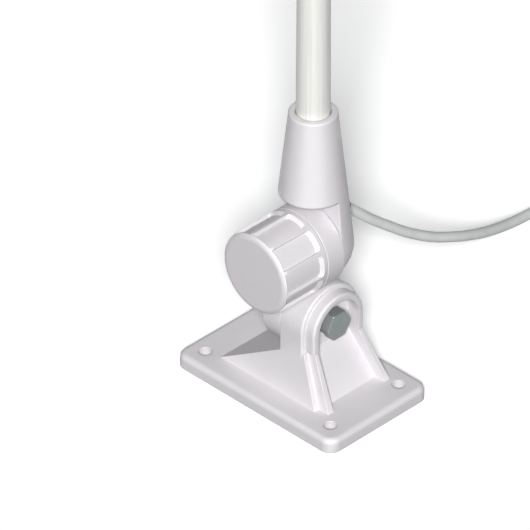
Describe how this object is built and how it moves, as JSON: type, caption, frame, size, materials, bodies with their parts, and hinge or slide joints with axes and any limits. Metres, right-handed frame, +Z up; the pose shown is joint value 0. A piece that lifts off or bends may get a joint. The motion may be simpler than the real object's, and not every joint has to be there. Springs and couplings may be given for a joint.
{
  "type": "marine vhf antenna",
  "caption": "White glassfibre whip antenna on a ratchet mount that tilts and lays over, with a hand knob, a base plate for screws, and a coiled coaxial cable with a screw-on plug.",
  "frame": {"origin": "middle of the base plate's underside, on the deck", "axes": "+Z up along the upright whip, +X along the base plate's long side and the tilt bolt, -Y towards the hand knob, +Y towards the side where the cable leaves"},
  "size_m": [0.1202, 0.2653, 1.25],
  "materials": {
    "white_moulding": "satin moulded nylon",
    "stainless_steel": "dull stainless steel",
    "white_glassfibre": "gloss coated glassfibre",
    "black_rubber": "soft black",
    "grey_cable_jacket": "smooth flexible jacket",
    "brass": "drawn brass",
    "white_foam": "closed cell foam",
    "nickel_plate": "nickel plated brass",
    "white_insulator": "moulded insulator"
  },
  "bodies": {
    "base": {"base_mount": "white_moulding", "pivot_bolt": "stainless_steel", "head_washer": "stainless_steel", "cable_run": "grey_cable_jacket", "cable_coil": "grey_cable_jacket", "coil_tie": "black_rubber", "cable_tail": "grey_cable_jacket", "plug_reducer": "nickel_plate", "plug_body": "nickel_plate", "plug_insulator": "white_insulator", "plug_pin": "nickel_plate"},
    "swivel": {"swivel_body": "white_moulding", "pivot_nut": "stainless_steel", "thrust_washer": "stainless_steel"},
    "antenna": {"ferrule": "white_moulding", "clamp_stud": "stainless_steel", "cable_grommet": "black_rubber", "whip_tube": "white_glassfibre", "tip_cap": "black_rubber", "sleeve_tube": "brass", "upper_element": "brass", "sleeve_spacer_1": "white_foam", "sleeve_spacer_2": "white_foam", "element_spacer_1": "white_foam", "element_spacer_2": "white_foam", "element_spacer_3": "white_foam", "feed_cable": "grey_cable_jacket", "cable_lead": "grey_cable_jacket"},
    "knob": {"knob_shell": "white_moulding", "knob_insert": "brass"},
    "plug_ring": {"coupling_ring": "nickel_plate"}
  },
  "joints": [
    {"name": "tilt", "type": "hinge", "parent": "base", "child": "swivel", "pos_m": [0, 0.0026, 0.04], "axis": [1, 0, 0], "range_deg": [-60, 75], "deforming": ["cable_run"]},
    {"name": "lay", "type": "hinge", "parent": "swivel", "child": "antenna", "pos_m": [0.005, 0, 0.0792], "axis": [0, 1, 0], "range_deg": [-90, 90], "deforming": ["cable_lead"]},
    {"name": "knob_turn", "type": "hinge", "parent": "antenna", "child": "knob", "pos_m": [0.005, -0.009, 0.0792], "axis": [0, -1, 0], "continuous": true},
    {"name": "ring_turn", "type": "hinge", "parent": "base", "child": "plug_ring", "pos_m": [0.061, 0.145, 0.0095], "axis": [0, -1, 0], "continuous": true}
  ]
}
